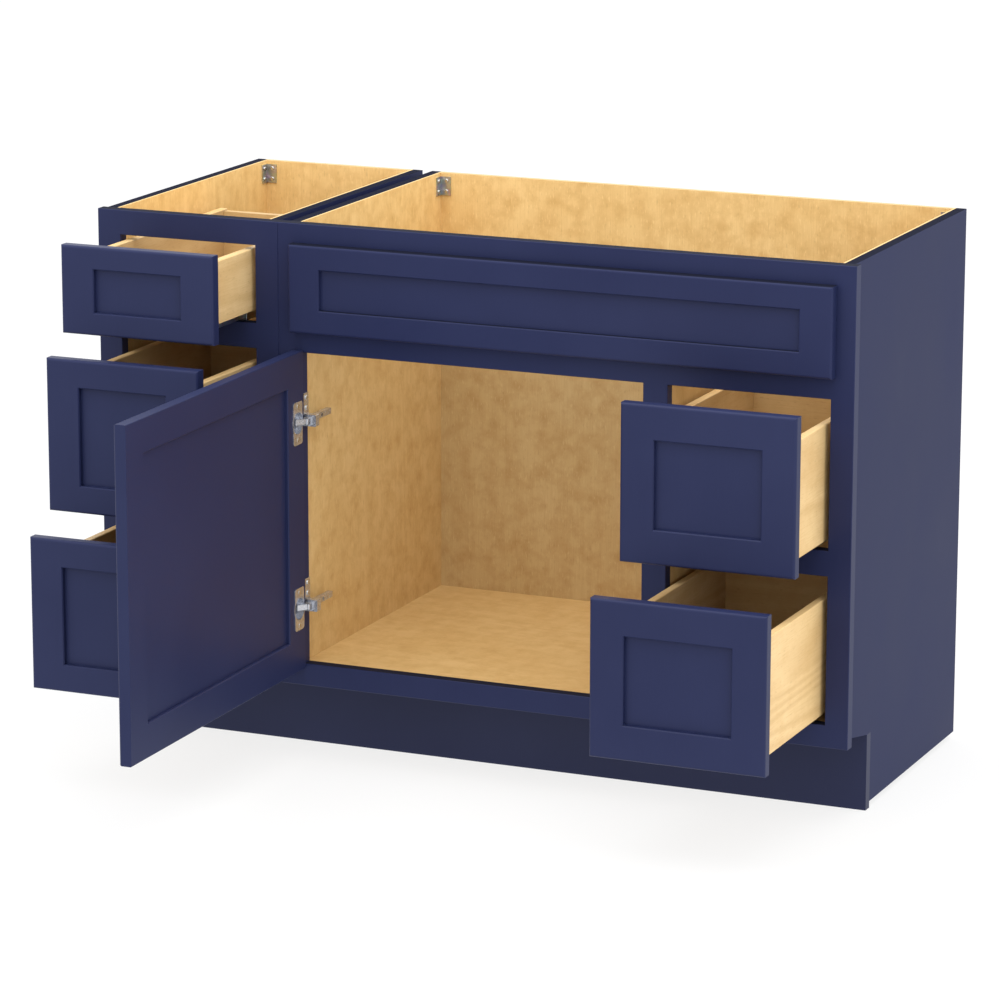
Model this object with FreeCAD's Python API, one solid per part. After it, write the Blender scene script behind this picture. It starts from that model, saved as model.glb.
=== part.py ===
import FreeCAD, Part
import math
import os

# Bathroom vanity cabinet, 48 in wide: a 12 in three-drawer unit joined to a 36 in sink unit.
# Millimetres. X runs left to right, Y from front to wall, Z up from the floor.
# All figures are laid out from the left front corner of the face frame, then moved so that
# the origin is at mid width, on the wall plane and the floor.

V = FreeCAD.Vector
os.makedirs("parts", exist_ok=True)

# overall
WIDTH = 1219.2
DEPTH = 533.4
HEIGHT = 838.2
SEAM_X = 304.8            # where the two face frames meet

# face frames
FRAME_T = 19.05
MEMBER_W = 38.1           # stiles and rails, apart from the two below
BOTTOM_RAIL_W = 34.35
RIGHT_STILE_W = 35.5
FRAME_Z0 = 123.8          # underside of the frame, top of the toe kick
FRAME_EASE = 0.9
CENTRE_STILE_X = 894.9

# panels
SIDE_INSET = 8.0          # frame edge to outer side face, at the cabinet's two ends
LEFT_SEAM_INSET = 3.9     # the same where the units meet
RIGHT_SEAM_INSET = 13.1
SIDE_T = 19.05
SIDE_Z0 = 10.0
BACK_T = 10.0
FLOOR_T = 12.7
DIVIDER_T = 12.7
TOE_Y = 112.0
TOE_T = 16.5
NOTCH_Z = 117.0
NOTCH_FRONT_Z = 135.0     # the notch in a side panel rises towards the frame
CLEAT_T = 12.7

# shaker fronts
FRONT_T = 19.05
LEFT_FRONT_X = (21.8, 275.8)
RIGHT_FRONT_X = (922.9, 1189.6)
SINK_FRONT_X = (330.2, 1190.6)
DOOR_X = (336.4, 911.0)   # shut
LEFT_STILE_W = 54.6
LEFT_RAIL_W = 42.0
TOP_RAIL_W = 34.3
RIGHT_FRONT_STILE_W = 51.9
RIGHT_RAIL_W = 51.5
SINK_STILE_W = 50.6
SINK_RAIL_W = 36.5
DOOR_STILE_W = 54.6
DOOR_RAIL_W = 50.8
RECESS = 8.2
PANEL_T = 5.2
GROOVE = 8.0
GROOVE_PLAY = 0.5
EDGE_R = 4.0
INNER_EASE = 1.5

# drawer boxes and slides
BOX_L = 457.2
BOX_T = 12.7
BOX_BOTTOM_T = 6.35
DADO = 6.0
BOX_SIDE_GAP = 8.4        # box side to frame opening
DEEP_BOX = (11.8, 173.2)  # opening's lower edge to box side's lower edge, box height
LEFT_DEEP_BOX = (11.8, 187.5)
SHALLOW_BOX = (17.3, 94.8)
CLOSED_GAP = 2.0          # front to face frame when shut
SLIDE_L = 457.0
SLIDE_Y0 = 14.0
CHANNEL_W = 30.0
CHANNEL_H = 16.0
RUNNER_W = 24.0
SHEET_T = 1.5
BRACKET_T = 3.0

# how far each drawer stands open in the stored pose, front's back face to frame
OPEN_L1 = 139.0
OPEN_L2 = 191.0
OPEN_L3 = 252.3
OPEN_R1 = 139.2
OPEN_R2 = 249.4

# door and hinges
DOOR_ANGLE = 89.5         # open in the stored pose
PIVOT_X = 341.0
PIVOT_Y = -8.5
HINGE_Z = (538.8, 250.8)
CUP_OFFSET = 17.5         # cup centre from the pivot, along the closed door
CUP_R = 17.5
CUP_DEPTH = 11.5
CUP_WALL = 0.8
FLANGE_T = 1.2
FLANGE_W = 31.0
FLANGE_H = 66.0
LINK_PIN = (13.5, 1.0)    # from the pivot
LINK_L = 18.0
LINK_HALF_T = 1.2
LINK_ANGLE = -128.7       # in the stored pose

# screws: head radius, head height, shank radius
PAN = (3.4, 1.8, 1.7)
LONG = (4.2, 2.4, 2.1)
SCREW_L = 11.0            # under a pan head

# levels of the openings in the face frames
Z_TOP = HEIGHT - MEMBER_W
Z_MID = (642.4, 681.0)
Z_LOW = (380.95, 419.05)
Z_BASE = FRAME_Z0 + BOTTOM_RAIL_W

# levels of the fronts, from the top down
SHALLOW_Z = (675.0, 809.3)
UPPER_Z = (413.4, 646.8)
LOWER_Z = (152.4, 386.0)

LEFT_OPENING = (MEMBER_W, SEAM_X - MEMBER_W)
DOOR_OPENING = (SEAM_X + MEMBER_W, CENTRE_STILE_X)
RIGHT_OPENING = (CENTRE_STILE_X + MEMBER_W, WIDTH - RIGHT_STILE_W)
BACK_Y = DEPTH - BACK_T

nodes = {}


def block(x0, x1, y0, y1, z0, z1):
    return Part.makeBox(x1 - x0, y1 - y0, z1 - z0, V(x0, y0, z0))


def rod(radius, length, base, axis):
    return Part.makeCylinder(radius, length, V(*base), V(*axis))


def add(name, *solids):
    nodes.setdefault(name, []).extend(solids)


def on_plane(edge, axis, value):
    points = [getattr(v.Point, axis) for v in edge.Vertexes]
    return all(abs(p - value) < 1e-4 for p in points)


def frame_slab(x0, x1, z0, z1, openings):
    """Face frame as one eased slab with its openings, ready to be split into members."""
    slab = block(x0, x1, 0, FRAME_T, z0, z1)
    for ox, oz in openings:
        slab = slab.cut(block(ox[0], ox[1], -1, FRAME_T + 1, oz[0], oz[1]))
    front = [e for e in slab.Edges if on_plane(e, "y", 0)]
    return slab.makeChamfer(FRAME_EASE, front)


def member(slab, xs, zs):
    return slab.common(block(xs[0], xs[1], -50, 50, zs[0], zs[1])).Solids[0]


def shaker(xs, zs, back_y, stile, rail, back_ease=0.8):
    """Five-piece front: returns its two stiles, its two rails and its flat panel."""
    face_y = back_y - FRONT_T
    slab = block(xs[0], xs[1], face_y, back_y, zs[0], zs[1])
    rim = [e for e in slab.Edges if on_plane(e, "y", face_y)]
    slab = slab.makeFillet(EDGE_R, rim)
    wx = (xs[0] + stile, xs[1] - stile)
    wz = (zs[0] + rail, zs[1] - rail)
    slab = slab.cut(block(wx[0], wx[1], face_y - 1, back_y + 1, wz[0], wz[1]))
    inner = [e for e in slab.Edges if on_plane(e, "y", face_y) or on_plane(e, "y", back_y)]
    inner = [e for e in inner if wx[0] - 0.01 <= e.BoundBox.XMin and e.BoundBox.XMax <= wx[1] + 0.01
             and wz[0] - 0.01 <= e.BoundBox.ZMin and e.BoundBox.ZMax <= wz[1] + 0.01]
    slab = slab.makeChamfer(INNER_EASE, inner)
    back = [e for e in slab.Edges if on_plane(e, "y", back_y)]
    back = [e for e in back if abs(e.BoundBox.XMin - xs[0]) < 0.01 or abs(e.BoundBox.XMax - xs[1]) < 0.01]
    slab = slab.makeChamfer(back_ease, back)
    py = face_y + RECESS
    slab = slab.cut(block(wx[0] - GROOVE, wx[1] + GROOVE, py, py + PANEL_T, wz[0] - GROOVE, wz[1] + GROOVE))
    left = slab.common(block(xs[0] - 1, wx[0], face_y - 1, back_y + 1, zs[0] - 1, zs[1] + 1))
    right = slab.common(block(wx[1], xs[1] + 1, face_y - 1, back_y + 1, zs[0] - 1, zs[1] + 1))
    low = slab.common(block(wx[0], wx[1], face_y - 1, back_y + 1, zs[0] - 1, wz[0] + 0.001))
    high = slab.common(block(wx[0], wx[1], face_y - 1, back_y + 1, wz[1] - 0.001, zs[1] + 1))
    reach = GROOVE - GROOVE_PLAY
    panel = block(wx[0] - reach, wx[1] + reach, py, py + PANEL_T, wz[0] - reach, wz[1] + reach)
    return left.Solids + right.Solids, low.Solids + high.Solids, panel


def screw(kind, seat, axis, length):
    """Domed screw: seat is where the head's underside sits, axis points out of the head."""
    head_r, head_h, shank_r = kind
    out = V(*axis)
    head = rod(head_r, head_h, seat, axis)
    top = V(*seat) + out * head_h
    rim = [e for e in head.Edges if abs((e.CenterOfMass - top).dot(out)) < 1e-4 and len(e.Vertexes) == 1]
    head = head.makeFillet(head_h * 0.6, rim)
    shank = rod(shank_r, length, seat, tuple(-a for a in axis))
    return head.fuse(shank).removeSplitter()


def hole(kind, seat, axis, length):
    return rod(kind[2], length, seat, tuple(-a for a in axis))


# ---- side panels, backs, floors -------------------------------------------------------

def side_panel(x0):
    board = block(x0, x0 + SIDE_T, FRAME_T, DEPTH, SIDE_Z0, HEIGHT)
    outline = [(0, -1), (TOE_Y + TOE_T, -1), (TOE_Y + TOE_T, NOTCH_Z), (TOE_Y, NOTCH_Z),
               (FRAME_T, NOTCH_FRONT_Z), (0, NOTCH_FRONT_Z), (0, -1)]
    notch = Part.Face(Part.makePolygon([V(x0 - 1, y, z) for y, z in outline]))
    return board.cut(notch.extrude(V(SIDE_T + 2, 0, 0)))


LEFT_INNER = (SIDE_INSET + SIDE_T, SEAM_X - LEFT_SEAM_INSET - SIDE_T)
RIGHT_INNER = (SEAM_X + RIGHT_SEAM_INSET + SIDE_T, WIDTH - SIDE_INSET - SIDE_T)

left_sides = [side_panel(SIDE_INSET), side_panel(LEFT_INNER[1])]
right_sides = [side_panel(SEAM_X + RIGHT_SEAM_INSET), side_panel(RIGHT_INNER[1])]
left_back = block(LEFT_INNER[0], LEFT_INNER[1], BACK_Y, DEPTH, 0, HEIGHT)
right_back = block(RIGHT_INNER[0], RIGHT_INNER[1], BACK_Y, DEPTH, 0, HEIGHT)

add("left_floor_panel", block(LEFT_INNER[0], LEFT_INNER[1], FRAME_T, BACK_Y, Z_BASE - FLOOR_T, Z_BASE))
add("right_floor_panel", block(RIGHT_INNER[0], RIGHT_INNER[1], FRAME_T, BACK_Y, Z_BASE - FLOOR_T, Z_BASE))
add("bay_partition", block(RIGHT_OPENING[0] - DIVIDER_T, RIGHT_OPENING[0], FRAME_T, BACK_Y,
                           Z_BASE, (Z_MID[0] + Z_MID[1]) / 2))
add("toe_boards",
    block(SIDE_INSET, SEAM_X, TOE_Y, TOE_Y + TOE_T, 0, NOTCH_Z),
    block(SEAM_X, WIDTH - SIDE_INSET, TOE_Y, TOE_Y + TOE_T, 0, NOTCH_Z))

# ---- face frames ----------------------------------------------------------------------

shallow_gap = (Z_MID[1], Z_TOP)
upper_gap = (Z_LOW[1], Z_MID[0])
lower_gap = (Z_BASE, Z_LOW[0])
full_z = (FRAME_Z0, HEIGHT)

slab_l = frame_slab(0, SEAM_X, FRAME_Z0, HEIGHT,
                    [(LEFT_OPENING, shallow_gap), (LEFT_OPENING, upper_gap), (LEFT_OPENING, lower_gap)])
left_stiles = [member(slab_l, (0, MEMBER_W), full_z), member(slab_l, (LEFT_OPENING[1], SEAM_X), full_z)]
for low, high in ((FRAME_Z0, Z_BASE), Z_LOW, Z_MID, (Z_TOP, HEIGHT)):
    add("left_frame_rails", member(slab_l, LEFT_OPENING, (low, high)))

wide = (DOOR_OPENING[0], RIGHT_OPENING[1])
slab_r = frame_slab(SEAM_X, WIDTH, FRAME_Z0, HEIGHT,
                    [(wide, shallow_gap), (DOOR_OPENING, (Z_BASE, Z_MID[0])),
                     (RIGHT_OPENING, upper_gap), (RIGHT_OPENING, lower_gap)])
right_stiles = [member(slab_r, (SEAM_X, wide[0]), full_z), member(slab_r, (wide[1], WIDTH), full_z)]
add("centre_stile", member(slab_r, (DOOR_OPENING[1], RIGHT_OPENING[0]), (Z_BASE, Z_MID[0])))
sink_rails = [member(slab_r, wide, z) for z in ((FRAME_Z0, Z_BASE), Z_MID, (Z_TOP, HEIGHT))]
add("drawer_rail", member(slab_r, RIGHT_OPENING, Z_LOW))

# ---- screws that join the two units, stile to stile -----------------------------------

for z in (745.0, 590.0, 300.0):
    seat = (LEFT_OPENING[1], FRAME_T / 2, z)
    add("unit_joining_screws", screw(LONG, seat, (-1, 0, 0), 60.0))
    drill = hole(LONG, seat, (-1, 0, 0), 60.0)
    left_stiles = [s.cut(drill) for s in left_stiles]
    right_stiles = [s.cut(drill) for s in right_stiles]

# ---- fixed sink front -----------------------------------------------------------------

sink_stiles, rails, panel = shaker(SINK_FRONT_X, SHALLOW_Z, 0, SINK_STILE_W, SINK_RAIL_W)
cleats = []
for x in (SINK_FRONT_X[0] + SINK_STILE_W / 2 + 10, SINK_FRONT_X[1] - SINK_STILE_W / 2 - 10):
    cleat = block(x - 12, x + 12, FRAME_T, FRAME_T + CLEAT_T, Z_MID[1] - 18, Z_TOP + 18)
    for z in (Z_MID[1] + 30, Z_TOP - 30):
        seat = (x, FRAME_T + CLEAT_T, z)
        length = FRAME_T + CLEAT_T + 12
        add("sink_front_screws", screw(LONG, seat, (0, 1, 0), length))
        drill = hole(LONG, seat, (0, 1, 0), length)
        cleat = cleat.cut(drill)
        sink_stiles = [s.cut(drill) for s in sink_stiles]
    cleats.append(cleat)
add("sink_front_cleats", *cleats)
add("sink_front_frame", *sink_stiles, *rails)
add("sink_front_panel", panel)

# ---- L brackets in the four back corners ----------------------------------------------

LEG = 18.0
BRACKET_H = 30.0
BRACKET_Z = HEIGHT - 6.0 - BRACKET_H
for inner, side in ((LEFT_INNER[0], 1), (LEFT_INNER[1], -1), (RIGHT_INNER[0], 1), (RIGHT_INNER[1], -1)):
    z0, z1 = BRACKET_Z, BRACKET_Z + BRACKET_H
    xa, xb = sorted((inner, inner + side * 2.0))
    xc, xd = sorted((inner, inner + side * LEG))
    leg_side = block(xa, xb, BACK_Y - LEG, BACK_Y, z0, z1)
    leg_back = block(xc, xd, BACK_Y - 2.0, BACK_Y, z0, z1)
    angle = leg_side.fuse(leg_back).removeSplitter()
    for z in (z0 + 6.5, z1 - 6.5):
        for seat, axis in (((inner + side * 2.0, BACK_Y - 11.0, z), (side, 0, 0)),
                           ((inner + side * 11.0, BACK_Y - 2.0, z), (0, -1, 0))):
            add("pan_head_screws", screw(PAN, seat, axis, SCREW_L))
            drill = hole(PAN, seat, axis, SCREW_L)
            angle = angle.cut(drill)
            left_sides = [s.cut(drill) for s in left_sides]
            right_sides = [s.cut(drill) for s in right_sides]
            left_back = left_back.cut(drill)
            right_back = right_back.cut(drill)
    add("corner_brackets", angle)

add("left_back_panel", left_back)
add("right_back_panel", right_back)
add("left_side_panels", *left_sides)
add("right_side_panels", *right_sides)

# ---- drawers --------------------------------------------------------------------------

def channel(x, y0, z0):
    """Cabinet member of a slide: U section, open upwards, centred on x."""
    outer = block(x - CHANNEL_W / 2, x + CHANNEL_W / 2, y0, y0 + SLIDE_L, z0, z0 + CHANNEL_H)
    inside = CHANNEL_W / 2 - SHEET_T
    return outer.cut(block(x - inside, x + inside, y0 - 1, y0 + SLIDE_L + 1, z0 + SHEET_T, z0 + CHANNEL_H + 1))


def runner(x, y0, z_under, z0):
    """Drawer member of a slide: inverted U that hangs inside the channel."""
    outer = block(x - RUNNER_W / 2, x + RUNNER_W / 2, y0, y0 + SLIDE_L - 6, z0, z_under)
    inside = RUNNER_W / 2 - SHEET_T
    return outer.cut(block(x - inside, x + inside, y0 - 1, y0 + SLIDE_L + 1, z0 - 1, z_under - SHEET_T))


def rear_bracket(x, y0, z0):
    half = CHANNEL_W / 2 + 2
    body = block(x - half, x + half, y0, BACK_Y, z0, z0 + CHANNEL_H + 4)
    return body.cut(block(x - half + BRACKET_T, x + half - BRACKET_T, y0 - 1, BACK_Y - BRACKET_T,
                          z0 + BRACKET_T, z0 + CHANNEL_H + 5))


def drawer(name, opening, sill, front_x, front_z, opened, box, stile, rail):
    """One drawer, standing open by the distance given, with its slides."""
    y0 = -opened
    stiles, rails, panel = shaker(front_x, front_z, y0, stile, rail)
    add(name + "_front_frame", *stiles, *rails)
    add(name + "_front_panel", panel)
    x0, x1 = opening[0] + BOX_SIDE_GAP, opening[1] - BOX_SIDE_GAP
    z0 = sill + box[0]
    z1 = z0 + box[1]
    zu = z0 + BOX_T
    zp = zu + BOX_BOTTOM_T
    bottom = block(x0 + BOX_T - DADO, x1 - BOX_T + DADO, y0 + BOX_T - DADO, y0 + BOX_L, zu, zp)
    for xa in (x0, x1 - BOX_T):
        board = block(xa, xa + BOX_T, y0, y0 + BOX_L, z0, z1)
        upper = [e for e in board.Edges if on_plane(e, "z", z1) and e.BoundBox.YLength > 100]
        add(name + "_box_sides", board.makeChamfer(1.2, upper).cut(bottom))
    front_end = block(x0 + BOX_T, x1 - BOX_T, y0, y0 + BOX_T, z0, z1 - 3)
    back_end = block(x0 + BOX_T, x1 - BOX_T, y0 + BOX_L - BOX_T, y0 + BOX_L, zp, z1 - 3)
    # the channels pass under the front end when the drawer shuts, so it stops above them
    front_end = front_end.cut(block(x0, x1, y0 - 1, y0 + BOX_T + 1, z0 - 1, zu))
    add(name + "_box_ends", front_end.cut(bottom), back_end)
    add(name + "_box_bottom", bottom)
    reach = BOX_T + 1.0 + CHANNEL_W / 2
    for x in (x0 + reach, x1 - reach):
        add("slide_channels", channel(x, SLIDE_Y0, sill))
        add("slide_rear_brackets", rear_bracket(x, SLIDE_Y0 + SLIDE_L, sill))
        add(name + "_slide_runners", runner(x, y0 + 3, zu, sill + 4.0))


drawer("left_top", LEFT_OPENING, Z_MID[1], LEFT_FRONT_X, SHALLOW_Z, OPEN_L1, SHALLOW_BOX, LEFT_STILE_W, TOP_RAIL_W)
drawer("left_middle", LEFT_OPENING, Z_LOW[1], LEFT_FRONT_X, UPPER_Z, OPEN_L2, LEFT_DEEP_BOX,
       LEFT_STILE_W, LEFT_RAIL_W)
drawer("left_bottom", LEFT_OPENING, Z_BASE, LEFT_FRONT_X, LOWER_Z, OPEN_L3, LEFT_DEEP_BOX,
       LEFT_STILE_W, LEFT_RAIL_W)
drawer("right_upper", RIGHT_OPENING, Z_LOW[1], RIGHT_FRONT_X, UPPER_Z, OPEN_R1, DEEP_BOX,
       RIGHT_FRONT_STILE_W, RIGHT_RAIL_W)
drawer("right_lower", RIGHT_OPENING, Z_BASE, RIGHT_FRONT_X, LOWER_Z, OPEN_R2, DEEP_BOX,
       RIGHT_FRONT_STILE_W, RIGHT_RAIL_W)

# ---- door and hinges ------------------------------------------------------------------

door_back = -CLOSED_GAP
pivot = V(PIVOT_X, PIVOT_Y, 0)
cup_x = PIVOT_X + CUP_OFFSET
door_stiles, door_rails, door_panel = shaker(DOOR_X, (LOWER_Z[0], UPPER_Z[1]), door_back,
                                            DOOR_STILE_W, DOOR_RAIL_W)


def swing(shape):
    """Turn a piece of the shut door to the stored open pose."""
    turned = shape.copy()
    turned.rotate(pivot, V(0, 0, 1), -DOOR_ANGLE)
    return turned


def hinge_cup(z):
    cup = rod(CUP_R, CUP_DEPTH, (cup_x, door_back - CUP_DEPTH, z), (0, 1, 0))
    wings = block(cup_x - FLANGE_W / 2, cup_x + FLANGE_W / 2, door_back, door_back + FLANGE_T,
                  z - FLANGE_H / 2, z + FLANGE_H / 2)
    corners = [e for e in wings.Edges if e.BoundBox.YLength > 1 and e.BoundBox.ZLength < 0.1
               and e.BoundBox.XLength < 0.1]
    wings = wings.makeFillet(5.0, corners)
    ring = rod(CUP_R + 0.3, FLANGE_T, (cup_x, door_back, z), (0, 1, 0))
    cup = cup.fuse([wings, ring])
    inside = rod(CUP_R - CUP_WALL, CUP_DEPTH + 5, (cup_x, door_back - CUP_DEPTH + CUP_WALL, z), (0, 1, 0))
    return cup.cut(inside).removeSplitter()


def hinge_arm(z):
    """Frame arm: screwed to the stile's inner edge, with two ears and a pin for the link."""
    edge_x = DOOR_OPENING[0]
    pin_x = PIVOT_X + LINK_PIN[0]
    pin_y = PIVOT_Y + LINK_PIN[1]
    plate = block(edge_x, edge_x + 2, 1.5, 18.5, z - 10, z + 40)
    body = block(edge_x + 2, edge_x + 23, -0.2, 12, z - 9.0, z + 9.0)
    corners = [e for e in body.Edges if e.BoundBox.ZLength < 0.1 and e.BoundBox.YLength > 10]
    body = body.makeFillet(1.5, corners)
    nose = block(pin_x - 3.9, pin_x + 4, pin_y - 4, 0, z - 6.4, z + 6.4)
    nose = nose.cut(block(pin_x - 5, pin_x + 5, pin_y - 10, -2.999, z - 4.6, z + 4.6))
    tail = block(edge_x + 3, edge_x + 11, 12, 78, z - 4.5, z + 4.5)
    pin = rod(1.2, 12.8, (pin_x, pin_y, z - 6.4), (0, 0, 1))
    arm = plate.fuse([body, nose, tail, pin]).removeSplitter()
    return arm.cut(rod(2.6, 20, (edge_x, 46, z), (1, 0, 0)))


def hinge_link(z):
    """Link from the arm's pin into the cup, in the stored pose."""
    pin = V(PIVOT_X + LINK_PIN[0], PIVOT_Y + LINK_PIN[1], 0)
    flat = block(0, LINK_L, -LINK_HALF_T, LINK_HALF_T, z - 4.2, z + 4.2)
    eye = rod(2.8, 8.4, (0, 0, z - 4.2), (0, 0, 1))
    tip = rod(LINK_HALF_T, 8.4, (LINK_L, 0, z - 4.2), (0, 0, 1))
    link = flat.fuse([eye, tip]).removeSplitter()
    link = link.cut(rod(1.6, 10, (0, 0, z - 5), (0, 0, 1)))
    link.rotate(V(0, 0, 0), V(0, 0, 1), LINK_ANGLE)
    link.translate(pin)
    return link


for z in HINGE_Z:
    cup = hinge_cup(z)
    pocket = rod(CUP_R, CUP_DEPTH, (cup_x, door_back - CUP_DEPTH, z), (0, 1, 0))
    door_stiles = [s.cut(pocket) for s in door_stiles]
    for dz in (-FLANGE_H / 2 + 7, FLANGE_H / 2 - 7):
        seat = (cup_x, door_back + FLANGE_T, z + dz)
        drill = hole(PAN, seat, (0, 1, 0), 12.0)
        # these heads lie low, as the link and arm pass close over them when the door shuts
        low_head = (PAN[0], 0.5, PAN[2])
        add("hinge_cup_screws", swing(screw(low_head, seat, (0, 1, 0), 12.0)))
        cup = cup.cut(drill)
        door_stiles = [s.cut(drill) for s in door_stiles]
    add("hinge_cups", swing(cup))
    arm = hinge_arm(z)
    for dz in (17, 33):
        seat = (DOOR_OPENING[0] + 2, 10, z + dz)
        drill = hole(PAN, seat, (1, 0, 0), SCREW_L)
        add("pan_head_screws", screw(PAN, seat, (1, 0, 0), SCREW_L))
        arm = arm.cut(drill)
        right_stiles = [s.cut(drill) for s in right_stiles]
    add("hinge_arms", arm)
    add("hinge_links", hinge_link(z))

add("door_stiles", *[swing(s) for s in door_stiles])
add("door_rails", *[swing(s) for s in door_rails])
add("door_panel", swing(door_panel))
add("left_frame_stiles", *left_stiles)
add("sink_frame_stiles", *right_stiles)
add("sink_frame_rails", *sink_rails)

# ---- write ----------------------------------------------------------------------------

to_origin = V(-WIDTH / 2, -DEPTH, 0)
for name, pieces in sorted(nodes.items()):
    solids = [s for piece in pieces for s in piece.Solids]
    shape = solids[0] if len(solids) == 1 else Part.makeCompound(solids)
    shape.translate(to_origin)
    assert shape.isValid(), name
    shape.exportStep("parts/" + name + ".step")
    print(name, len(solids), round(shape.Volume / 1000.0, 1))
print(len(nodes), "nodes")
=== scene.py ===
import bpy
from mathutils import Matrix, Vector


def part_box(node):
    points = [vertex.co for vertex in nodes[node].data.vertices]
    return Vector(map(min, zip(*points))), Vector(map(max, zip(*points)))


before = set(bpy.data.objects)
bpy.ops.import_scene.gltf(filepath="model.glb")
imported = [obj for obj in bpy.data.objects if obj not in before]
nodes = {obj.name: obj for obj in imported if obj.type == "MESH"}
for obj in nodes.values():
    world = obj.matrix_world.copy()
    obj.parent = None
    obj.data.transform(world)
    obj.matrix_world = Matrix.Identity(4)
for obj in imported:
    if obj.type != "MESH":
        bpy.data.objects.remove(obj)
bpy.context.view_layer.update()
MM = 0.001
X, Y, Z = 0, 1, 2
WHITE = (1.0, 1.0, 1.0, 1.0)


# ---- node material builder ------------------------------------------------------------

class Mat:
    """A material with short calls for its nodes. Numbers or sockets may be given as inputs."""

    def __init__(self, name):
        self.mat = bpy.data.materials.new(name)
        self.mat.use_nodes = True
        self.tree = self.mat.node_tree
        self.tree.nodes.clear()
        self.out = self.tree.nodes.new("ShaderNodeOutputMaterial")
        self.shader = self.tree.nodes.new("ShaderNodeBsdfPrincipled")
        self.tree.links.new(self.shader.outputs["BSDF"], self.out.inputs["Surface"])
        self.coord = self.tree.nodes.new("ShaderNodeTexCoord").outputs["Object"]
        self.count = 0

    def add(self, kind, ins, **props):
        node = self.tree.nodes.new("ShaderNode" + kind)
        node.location = (-200 - 180 * (self.count // 6), -220 * (self.count % 6))
        self.count += 1
        for key, value in props.items():
            setattr(node, key, value)
        for key, value in ins.items():
            self.put(node.inputs[key], value)
        return node

    def put(self, socket, value):
        if isinstance(value, bpy.types.NodeSocket):
            self.tree.links.new(value, socket)
        else:
            socket.default_value = value

    def set(self, **ins):
        for key, value in ins.items():
            self.put(self.shader.inputs[key.replace("_", " ")], value)

    def scaled(self, scale, offset=(0, 0, 0)):
        ins = {"Vector": self.coord, "Scale": scale, "Location": offset}
        return self.add("Mapping", ins).outputs[0]

    def noise(self, scale, detail=2.0, rough=0.5, coord=None, distortion=0.0):
        ins = {"Vector": coord or self.coord, "Scale": scale, "Detail": detail,
               "Roughness": rough, "Distortion": distortion}
        return self.add("TexNoise", ins).outputs["Fac"]

    def math(self, op, a, b=0.0):
        return self.add("Math", {0: a, 1: b}, operation=op).outputs[0]

    def remap(self, value, a, b, c=0.0, d=1.0, smooth=False):
        """Carry the range a..b over to c..d, held at its ends."""
        kind = "SMOOTHSTEP" if smooth else "LINEAR"
        ins = {"Value": value, "From Min": a, "From Max": b, "To Min": c, "To Max": d}
        return self.add("MapRange", ins, interpolation_type=kind).outputs[0]

    def mix(self, fac, a, b, blend="MIX"):
        node = self.tree.nodes.new("ShaderNodeMix")
        node.data_type = "RGBA"
        node.blend_type = blend
        self.put(node.inputs["Factor"], fac)
        self.put([s for s in node.inputs if s.name == "A" and s.type == "RGBA"][0], a)
        self.put([s for s in node.inputs if s.name == "B" and s.type == "RGBA"][0], b)
        return [s for s in node.outputs if s.type == "RGBA"][0]

    def axis(self, which):
        """Place along one axis of the object."""
        return self.add("SeparateXYZ", {0: self.coord}).outputs[which]

    def facing(self, which):
        """How far the surface faces along one axis of the object, -1 to 1."""
        normal = self.tree.nodes.new("ShaderNodeTexCoord").outputs["Normal"]
        return self.add("SeparateXYZ", {0: normal}).outputs[which]

    def bump(self, height, strength, distance):
        ins = {"Height": height, "Strength": strength, "Distance": distance}
        return self.add("Bump", ins).outputs[0]

    def constant(self, name, value):
        """A setting that is the same all over the surface goes on the shader's own socket."""
        self.shader.inputs[name].default_value = value


def rgb(r, g, b):
    """sRGB 0-255 to a linear colour."""
    def lin(c):
        c /= 255.0
        return c / 12.92 if c <= 0.04045 else ((c + 0.055) / 1.055) ** 2.4
    return (lin(r), lin(g), lin(b), 1.0)


def scale_colour(colour, k):
    return (colour[0] * k, colour[1] * k, colour[2] * k, 1.0)


# depth of the surface relief under a bump
COAT_RELIEF = 0.2 * MM
FINE_RELIEF = 0.1 * MM

# ---- paint ----------------------------------------------------------------------------

NAVY = rgb(36, 42, 75)
NAVY_DEEP = rgb(32, 38, 71)

# specular level of each finish
FRONT_GLOSS = 0.17
FRAME_GLOSS = 0.14
TOE_GLOSS = 0.22
SIDE_GLOSS = 0.05
WOOD_GLOSS = 0.3
FLOOR_GLOSS = 0.1


def paint_layers(m, tone=1.0, painted_top_shade=True):
    """Sprayed satin paint: slow tone drift, faint grain showing through, fine orange peel."""
    drift = m.noise(4.0, 3.0, 0.55)
    grain = m.noise(1.0, 2.0, 0.6, m.scaled((520, 520, 26)))
    peel = m.noise(620.0, 2.0, 0.5)
    dark, light = scale_colour(NAVY_DEEP, tone), scale_colour(NAVY, tone)
    colour = m.mix(m.remap(drift, 0.35, 0.65), dark, light)
    lit_grain = scale_colour(NAVY, tone * 1.35)
    colour = m.mix(m.remap(grain, 0.45, 0.8, 0.0, 0.10), colour, lit_grain)
    unevenness = m.math("ADD", drift, m.math("MULTIPLY", peel, 0.35))
    rough = m.remap(unevenness, 0.4, 1.0, 0.40, 0.50)
    height = m.math("ADD", m.math("MULTIPLY", peel, 0.5), m.math("MULTIPLY", grain, 0.5))
    if painted_top_shade:
        # painted shade: faces turned up are darkened nearly to black, and also made rougher
        upward = m.remap(m.facing(Z), 0.7, 0.95)
        colour = m.mix(m.math("MULTIPLY", upward, 0.8), colour, scale_colour(NAVY_DEEP, 0.08))
        rough = m.math("ADD", rough, m.math("MULTIPLY", upward, 0.4))
    return colour, rough, height


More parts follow.
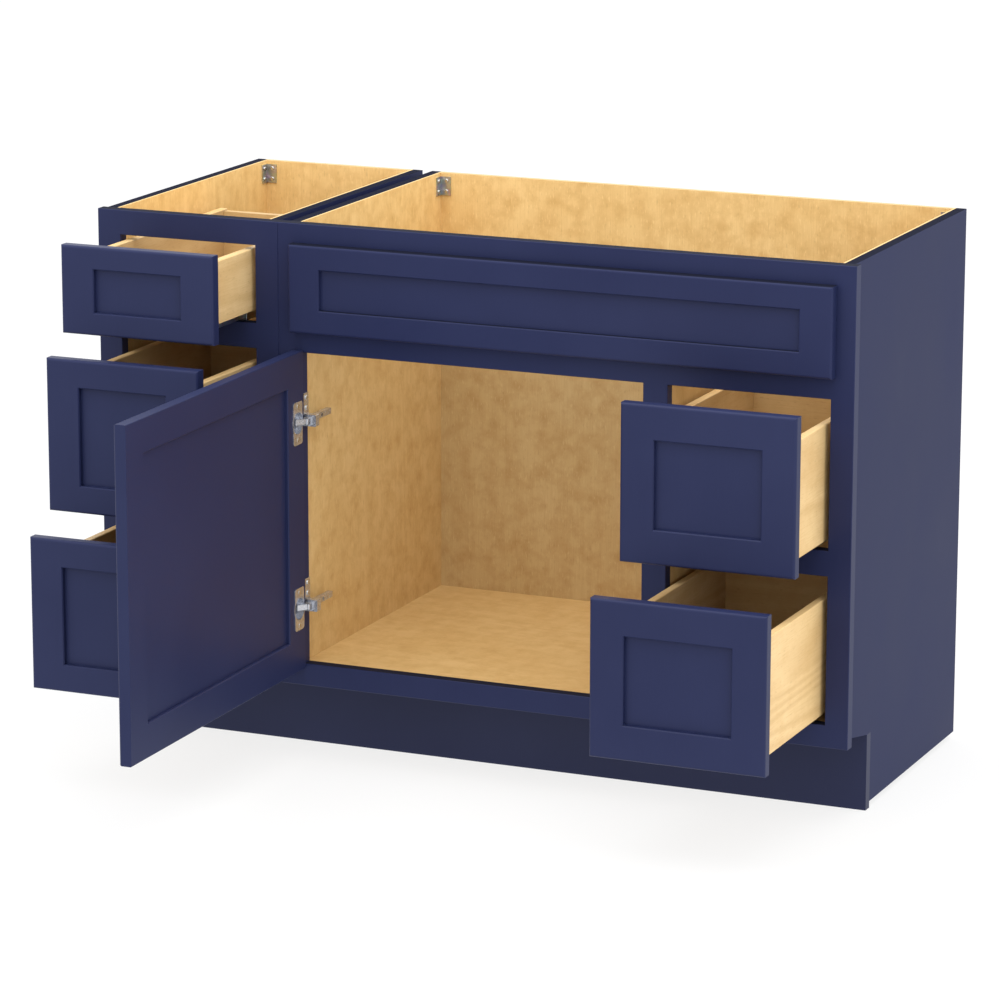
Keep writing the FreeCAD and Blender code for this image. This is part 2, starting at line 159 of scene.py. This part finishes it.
def paint(name, tone=1.0, gloss=FRAME_GLOSS, painted_top_shade=True):
    m = Mat(name)
    colour, rough, height = paint_layers(m, tone, painted_top_shade=painted_top_shade)
    m.set(Base_Color=colour, Roughness=rough, Normal=m.bump(height, 0.10, COAT_RELIEF))
    m.constant("Specular IOR Level", gloss)
    return m.mat


# ---- wood -----------------------------------------------------------------------------

# each wood has a base, a dark and a light tone
PLY = (rgb(206, 174, 119), rgb(186, 149, 93), rgb(218, 190, 138))
MAPLE = (rgb(228, 194, 138), rgb(202, 162, 104), rgb(240, 209, 156))
# painted shade: maple darkened to 0.72 for the drawer box ends
SHADED_MAPLE = tuple(scale_colour(tone, 0.72) for tone in MAPLE)
EDGE_CREAM = rgb(214, 184, 128)
EDGE_DARK = rgb(184, 146, 92)
VENEER = 2.5 * MM          # one layer of the plywood
BOX_WALL = 12.7 * MM
PAINTED_DEPTH = 16.0 * MM  # of a side panel's thickness, from outside


def stretched(m, along, across_scale, along_scale, offset=(0, 0, 0)):
    scale = [across_scale] * 3
    scale[along] = along_scale
    return m.scaled(tuple(scale), offset)


def wood_layers(m, tones, along, figure=1.0, mottle=1.0, seed=0.0):
    """Clear-coated wood with its grain along one axis."""
    base, dark, light = tones
    off = (seed * 1.7, seed * 0.9, seed * 2.3)
    # growth-ring figure: contour lines of a slow stretched field
    slow = m.noise(1.0, 1.5, 0.45, stretched(m, along, 7.0, 0.75, off), 0.25)
    rings = m.math("PINGPONG", m.math("MULTIPLY", slow, 26.0), 1.0)
    rings = m.remap(rings, 0.0, 1.0, 0.0, 1.0, smooth=True)
    fibre = m.noise(1.0, 3.0, 0.62, stretched(m, along, 900.0, 22.0, off))
    fleck = m.noise(1.0, 1.0, 0.5, stretched(m, along, 420.0, 95.0, off))
    cloud = m.noise(34.0, 4.0, 0.62, m.scaled((1, 1, 1), off))
    broad = m.noise(5.0, 2.0, 0.5, m.scaled((1, 1, 1), off))
    colour = m.mix(m.remap(broad, 0.35, 0.65, 0.0, 0.45), base, light)
    colour = m.mix(m.math("MULTIPLY", rings, 0.34 * figure), colour, dark)
    colour = m.mix(m.remap(cloud, 0.42, 0.72, 0.0, 0.55 * mottle), colour, dark)
    colour = m.mix(m.remap(fibre, 0.48, 0.74, 0.0, 0.42), colour, dark)
    colour = m.mix(m.remap(fleck, 0.62, 0.72, 0.0, 0.35 * mottle), colour, light)
    colour = m.mix(m.remap(fleck, 0.34, 0.26, 0.0, 0.30), colour, scale_colour(dark, 0.72))
    rough = m.remap(m.math("ADD", fibre, cloud), 0.7, 1.3, 0.42, 0.58)
    return colour, rough, fibre


def wood(name, tones, along, figure=1.0, mottle=1.0, seed=0.0):
    m = Mat(name)
    colour, rough, fibre = wood_layers(m, tones, along, figure, mottle, seed)
    m.set(Base_Color=colour, Roughness=rough, Normal=m.bump(fibre, 0.12, COAT_RELIEF))
    m.constant("Specular IOR Level", WOOD_GLOSS)
    return m.mat


def box_side_wood(name, centre_x, half_x, seed):
    """Drawer sides: pale clear-coated maple outside and on the edges, with painted shade on the
    faces inside the box.
    """
    m = Mat(name)
    colour, rough, fibre = wood_layers(m, MAPLE, Y, 1.3, 0.4, seed)
    off_centre = m.math("ABSOLUTE", m.math("SUBTRACT", m.axis(X), centre_x))
    inner_face = half_x - BOX_WALL
    inner = m.remap(off_centre, inner_face + 0.7 * MM, inner_face + 0.1 * MM)
    # painted shade: the inner faces are darkened and cooled
    shaded_inside = m.mix(1.0, colour, (0.66, 0.68, 0.74, 1.0), "MULTIPLY")
    m.set(Base_Color=m.mix(inner, colour, shaded_inside), Roughness=rough,
          Normal=m.bump(fibre, 0.14, COAT_RELIEF))
    m.constant("Specular IOR Level", WOOD_GLOSS)
    return m.mat


def ply_edge(m, across):
    """Layered edge of plywood: veneers stacked along one axis."""
    layer = m.math("PINGPONG", m.math("DIVIDE", m.axis(across), VENEER), 1.0)
    fuzz = m.noise(700.0, 2.0, 0.6)
    mask = m.remap(m.math("ADD", layer, m.math("MULTIPLY", fuzz, 0.5)), 0.55, 0.95)
    return m.mix(mask, EDGE_CREAM, EDGE_DARK)


# painted light and shade on the sheets: tints low and high, and the levels between which one
# passes into the other
AS_IS = (1, 1, 1)
PAINTED_LIGHT_TOP = (1.30, 1.28, 1.20)
PAINTED_LIGHT_BACK_TOP = (1.26, 1.24, 1.16)
PAINTED_SHADE_BACK = (0.84, 0.86, 0.90)
PAINTED_SHADE_FLOOR = (0.93, 0.89, 0.83)
PAINTED_LIGHT_FROM = 0.60
PAINTED_LIGHT_TO = 0.74


def paint_light_by_height(m, colour, low, high):
    """Painted light and shade: sheets are paler near the open top than lower down, except on
    the side to the wall.
    """
    inside = m.remap(m.facing(Y), 0.5, 0.4)
    raised = m.remap(m.axis(Z), PAINTED_LIGHT_FROM, PAINTED_LIGHT_TO, smooth=True)
    tint = m.mix(raised, (*low, 1.0), (*high, 1.0))
    return m.mix(inside, colour, m.mix(1.0, colour, tint, "MULTIPLY"))


def panel_ply(name, along, across, seed, mottle=1.0, low=AS_IS, high=AS_IS):
    """Plywood sheet: veneer on its two faces, layers on its four edges."""
    m = Mat(name)
    colour, rough, fibre = wood_layers(m, PLY, along, 0.5, mottle, seed)
    # painted light and shade by height, from the low and high tints
    colour = paint_light_by_height(m, colour, low, high)
    on_face = m.remap(m.math("ABSOLUTE", m.facing(across)), 0.5, 0.6)
    colour = m.mix(on_face, ply_edge(m, across), colour)
    m.set(Base_Color=colour, Roughness=rough, Normal=m.bump(fibre, 0.12, COAT_RELIEF))
    m.constant("Specular IOR Level", WOOD_GLOSS)
    return m.mat


def side_ply(name, centre_x, half_x, seed):
    """Side panels: navy over most of the thickness, bare plywood on the inner face."""
    m = Mat(name)
    wood_colour, wood_rough, fibre = wood_layers(m, PLY, Z, 0.5, 1.3, seed)
    # painted light near the top of the inner faces
    wood_colour = paint_light_by_height(m, wood_colour, AS_IS, PAINTED_LIGHT_TOP)
    # this paint carries painted shade on its faces turned up
    navy, navy_rough, peel = paint_layers(m)
    off_centre = m.math("ABSOLUTE", m.math("SUBTRACT", m.axis(X), centre_x))
    paint_from = half_x - PAINTED_DEPTH
    skin = m.remap(off_centre, paint_from - 0.1 * MM, paint_from + 0.1 * MM)
    on_face = m.remap(m.math("ABSOLUTE", m.facing(X)), 0.5, 0.6)
    # only the inner face, the top edge and the back edge are left bare
    on_rim = m.remap(m.math("MAXIMUM", m.facing(Y), m.facing(Z)), 0.5, 0.6)
    bare_side = m.math("MAXIMUM", on_face, on_rim)
    painted = m.math("MAXIMUM", skin, m.math("SUBTRACT", 1.0, bare_side))
    unpainted = m.math("SUBTRACT", 1.0, painted)

    def blend(over, under):
        over, under = m.math("MULTIPLY", painted, over), m.math("MULTIPLY", unpainted, under)
        return m.math("ADD", over, under)

    colour = m.mix(painted, m.mix(on_face, EDGE_CREAM, wood_colour), navy)
    m.set(Base_Color=colour, Roughness=blend(navy_rough, wood_rough),
          Normal=m.bump(blend(peel, fibre), 0.11, COAT_RELIEF))
    m.constant("Specular IOR Level", SIDE_GLOSS)
    return m.mat


# ---- metal and plastic ----------------------------------------------------------------

def metal(name, colour, low, high, scratch_axis=Z, spangle=0.0, metallic=1.0):
    """Plated sheet with fine scratches along one axis, rough from low to high."""
    m = Mat(name)
    fine = m.noise(1.0, 2.0, 0.6, stretched(m, scratch_axis, 2600.0, 120.0))
    blot = m.noise(60.0, 3.0, 0.6)
    tone = m.mix(m.remap(blot, 0.35, 0.7), scale_colour(colour, 0.86), colour)
    if spangle:
        cells = m.add("TexVoronoi", {"Vector": m.coord, "Scale": 160.0}).outputs["Color"]
        tone = m.mix(spangle, tone, cells, "SOFT_LIGHT")
    rough = m.remap(m.math("ADD", fine, blot), 0.7, 1.35, low, high)
    m.set(Base_Color=tone, Roughness=rough, Normal=m.bump(fine, 0.08, FINE_RELIEF))
    m.constant("Metallic", metallic)
    return m.mat


def plastic(name, colour, low, high):
    m = Mat(name)
    grit = m.noise(1400.0, 2.0, 0.6)
    drift = m.noise(30.0, 2.0, 0.5)
    tone = m.mix(m.remap(drift, 0.3, 0.7), scale_colour(colour, 0.93), colour)
    m.set(Base_Color=tone, Roughness=m.remap(grit, 0.3, 0.7, low, high),
          Normal=m.bump(grit, 0.15, FINE_RELIEF))
    return m.mat


# ---- assign to the CAD nodes ----------------------------------------------------------

def middle(name):
    """Centre and half width of a node, along x."""
    low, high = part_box(name)
    return (low[0] + high[0]) / 2, (high[0] - low[0]) / 2


front_paint = paint("navy_front", 1.05, FRONT_GLOSS, painted_top_shade=False)
frame_paint = paint("navy_frame", 1.04)
# painted shade: the recessed toe boards are painted at 0.82 of the navy
shaded_toe_paint = paint("navy_toe_shaded", 0.82, TOE_GLOSS)
shaded_maple_x = wood("maple_along_width_shaded", SHADED_MAPLE, X, 1.0, 0.5, 5.0)
zinc = metal("zinc_plate", rgb(196, 198, 200), 0.28, 0.46, Y, 0.25)
nickel = metal("bright_nickel", rgb(204, 207, 214), 0.16, 0.32, Z, 0.0, 0.85)
screw_zinc = metal("screw_zinc", rgb(206, 206, 202), 0.2, 0.36)
bracket_plastic = plastic("rear_bracket_plastic", rgb(214, 212, 204), 0.4, 0.55)

# panels: grain along, layers across, then seed, mottle and tints of painted light and shade
LOOKS = {
    "toe_boards": shaded_toe_paint,
    "left_side_panels": side_ply("left_sides", *middle("left_side_panels"), 1.0),
    "right_side_panels": side_ply("right_sides", *middle("right_side_panels"), 3.0),
    # painted light near the tops of the back panels; painted shade low on the right back panel
    # and on the right floor panel
    "left_back_panel": panel_ply("back_ply_left", Z, Y, 4.0, 1.2, high=PAINTED_LIGHT_TOP),
    "right_back_panel": panel_ply("back_ply_right", Z, Y, 7.0, 1.5, PAINTED_SHADE_BACK, PAINTED_LIGHT_BACK_TOP),
    "left_floor_panel": panel_ply("floor_ply_left", X, Z, 8.0),
    "right_floor_panel": panel_ply("floor_ply_right", X, Z, 9.0, 1.0, PAINTED_SHADE_FLOOR),
    "bay_partition": panel_ply("partition_ply", Z, X, 11.0),
    "sink_front_cleats": panel_ply("cleat_ply", Z, Y, 12.0),
    "corner_brackets": zinc,
    "slide_channels": zinc,
    "slide_rear_brackets": bracket_plastic,
    "hinge_cups": nickel,
    "hinge_arms": nickel,
    "hinge_links": nickel,
}
FRAME_NODES = ("centre_stile", "drawer_rail", "sink_front_frame")


def look_for(name):
    """Material of a node: from LOOKS, or else by what the node's name says it is."""
    if name in LOOKS:
        return LOOKS[name]
    if name.endswith("screws"):
        return screw_zinc
    if name.endswith("slide_runners"):
        return zinc
    if name.endswith("box_sides"):
        return box_side_wood(name + "_maple", *middle(name), 17.0 + 3.1 * len(name))
    if name.endswith("box_ends"):
        return shaded_maple_x
    if name.endswith("box_bottom"):
        return LOOKS["left_floor_panel"]
    if "frame_" in name or name in FRAME_NODES:
        return frame_paint
    return front_paint


for name, obj in nodes.items():
    look = look_for(name)
    if not obj.material_slots:
        obj.data.materials.append(look)
    for material_slot in obj.material_slots:
        material_slot.material = look


# ---- floor, light, camera -------------------------------------------------------------

FLOOR_HALF = 30.0
FLOOR_TONES = ((0.15, 0.15, 0.15, 1), (0.17, 0.17, 0.17, 1))
FLOOR_GLOW = 0.80
SKY = 1.45
AIM = (0.0, -0.3, 0.45)    # where the lights point

CAMERA_PLACE = (2.64731, -6.49486, 1.98264)
CAMERA_FORWARD = (-0.38760, 0.89264, -0.23014)
CAMERA_RIGHT = (0.91713, 0.39859, 0.00139)
LENS = 161.95
SENSOR = 36.0
CLIP_END = 100.0


def link(obj):
    bpy.context.scene.collection.objects.link(obj)
    return obj


def floor_sheet():
    """A large pale sheet that glows a little, so that it meets the background unseen."""
    h = FLOOR_HALF
    mesh = bpy.data.meshes.new("studio_floor")
    mesh.from_pydata([(-h, -h, 0), (h, -h, 0), (h, h, 0), (-h, h, 0)], [], [(0, 1, 2, 3)])
    floor = link(bpy.data.objects.new("studio_floor", mesh))
    m = Mat("studio_floor")
    m.set(Base_Color=m.mix(m.noise(0.8, 2.0), *FLOOR_TONES))
    m.constant("Emission Color", WHITE)
    m.constant("Emission Strength", FLOOR_GLOW)
    m.constant("Roughness", 0.9)
    m.constant("Specular IOR Level", FLOOR_GLOSS)
    mesh.materials.append(m.mat)


def area_light(name, place, size, power):
    data = bpy.data.lights.new(name, "AREA")
    data.shape = "RECTANGLE"
    data.size, data.size_y = size
    data.energy = power
    light = link(bpy.data.objects.new(name, data))
    light.location = place
    light.rotation_euler = (Vector(AIM) - Vector(place)).to_track_quat("-Z", "Y").to_euler()


def studio():
    """Even white sky, a soft light above and a weak one on the right."""
    world = bpy.data.worlds.new("studio")
    bpy.context.scene.world = world
    world.use_nodes = True
    background = world.node_tree.nodes["Background"]
    background.inputs["Color"].default_value = WHITE
    background.inputs["Strength"].default_value = SKY
    area_light("overhead", (0.2, -1.1, 3.4), (3.2, 2.6), 60)
    area_light("right_fill", (3.6, -2.0, 1.8), (2.4, 2.4), 10)


def place_camera():
    """Set the camera from its place and its forward and right directions."""
    place = Vector(CAMERA_PLACE)
    forward = Vector(CAMERA_FORWARD).normalized()
    right = Vector(CAMERA_RIGHT).normalized()
    up = right.cross(forward).normalized()
    data = bpy.data.cameras.new("camera")
    data.lens = LENS
    data.sensor_width = SENSOR
    data.clip_end = CLIP_END
    camera = link(bpy.data.objects.new("camera", data))
    camera.matrix_world = Matrix((
        (right.x, up.x, -forward.x, place.x),
        (right.y, up.y, -forward.y, place.y),
        (right.z, up.z, -forward.z, place.z),
        (0, 0, 0, 1)))
    bpy.context.scene.camera = camera


floor_sheet()
studio()
place_camera()
bpy.context.scene.view_settings.view_transform = "Standard"
bpy.context.scene.view_settings.look = "None"
